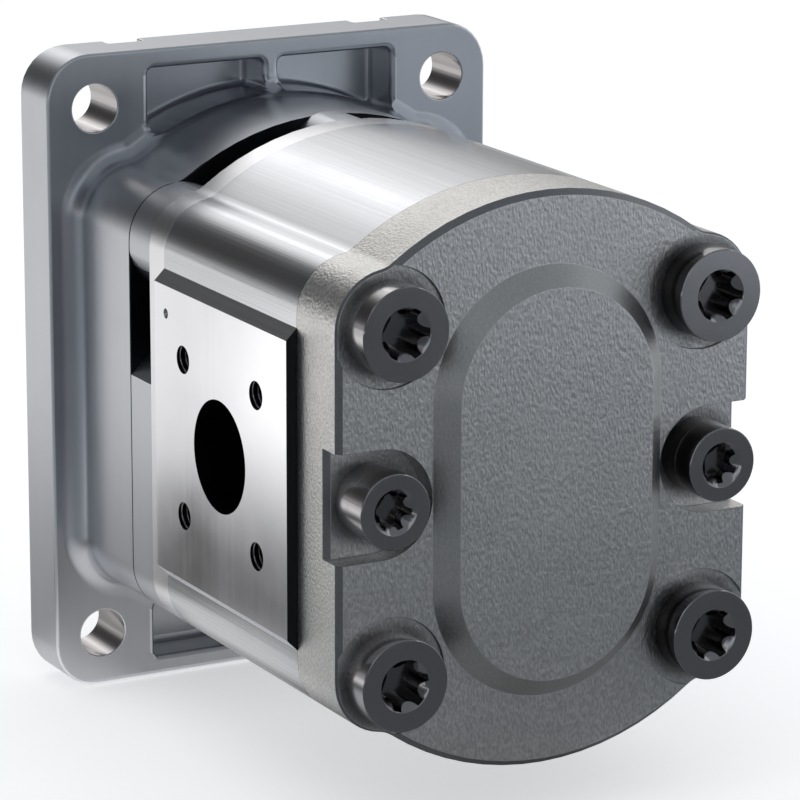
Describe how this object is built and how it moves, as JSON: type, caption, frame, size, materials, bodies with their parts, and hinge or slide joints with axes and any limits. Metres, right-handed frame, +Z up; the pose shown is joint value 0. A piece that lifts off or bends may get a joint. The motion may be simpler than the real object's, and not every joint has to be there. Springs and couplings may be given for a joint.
{
  "type": "hydraulic gear pump",
  "caption": "External gear pump with a square-cornered mounting flange, round pilot, tapered drive shaft and side ports with bolted port faces.",
  "frame": {"origin": "centre of the mounting pilot, on the drive shaft's axis, in the mounting face", "axes": "+Y along the drive shaft and out of the mounting face, +Z up from the driven gear to the drive gear, +X towards the outlet port"},
  "size_m": [0.091, 0.1603, 0.12],
  "materials": {
    "flange_casting": "satin, smooth casting",
    "cover_casting": "bare casting, fine grain",
    "housing_metal": "brushed along the shaft",
    "screw_steel": "black oxide",
    "pin_steel": "ground",
    "gear_steel": "ground and hardened",
    "block_alloy": "machined",
    "bush_bronze": "smooth",
    "seal_rubber": "moulded",
    "bearing_steel": "polished",
    "cage_brass": "stamped"
  },
  "bodies": {
    "housing": {"mounting_flange": "flange_casting", "front_cover": "flange_casting", "pump_body": "housing_metal", "rear_cover": "cover_casting", "cover_screw_1": "screw_steel", "cover_screw_2": "screw_steel", "cover_screw_3": "screw_steel", "cover_screw_4": "screw_steel", "centre_screw_left": "screw_steel", "centre_screw_right": "screw_steel", "spacer_left": "screw_steel", "spacer_right": "screw_steel", "front_dowel_1": "pin_steel", "front_dowel_2": "pin_steel", "rear_dowel_1": "pin_steel", "rear_dowel_2": "pin_steel", "front_bearing_block": "block_alloy", "rear_bearing_block": "block_alloy", "bush_front_drive": "bush_bronze", "bush_front_driven": "bush_bronze", "bush_rear_drive": "bush_bronze", "bush_rear_driven": "bush_bronze", "front_pressure_seal": "seal_rubber", "rear_pressure_seal": "seal_rubber", "front_ring_seal": "seal_rubber", "rear_ring_seal": "seal_rubber", "bearing_outer_ring": "bearing_steel", "bearing_clip": "screw_steel", "inner_shaft_seal": "seal_rubber", "outer_shaft_seal": "seal_rubber"},
    "drive": {"drive_gear_shaft": "gear_steel", "bearing_inner_ring": "bearing_steel", "shaft_key": "pin_steel", "lock_washer": "pin_steel", "shaft_nut": "pin_steel"},
    "driven": {"driven_gear": "gear_steel"},
    "ball_train": {"bearing_cage": "cage_brass", "bearing_balls": "bearing_steel"}
  },
  "joints": [
    {"name": "drive_turn", "type": "hinge", "parent": "housing", "child": "drive", "pos_m": [0, 0, 0], "axis": [0, 1, 0], "continuous": true},
    {"name": "driven_turn", "type": "hinge", "parent": "housing", "child": "driven", "pos_m": [0, 0, -0.031], "axis": [0, 1, 0], "continuous": true},
    {"name": "ball_train_turn", "type": "hinge", "parent": "housing", "child": "ball_train", "pos_m": [0, 0, 0], "axis": [0, 1, 0], "continuous": true}
  ],
  "couplings": [
    {"joint": "driven_turn", "follows": "drive_turn", "ratio": -1},
    {"joint": "ball_train_turn", "follows": "drive_turn", "ratio": 0.3825}
  ]
}
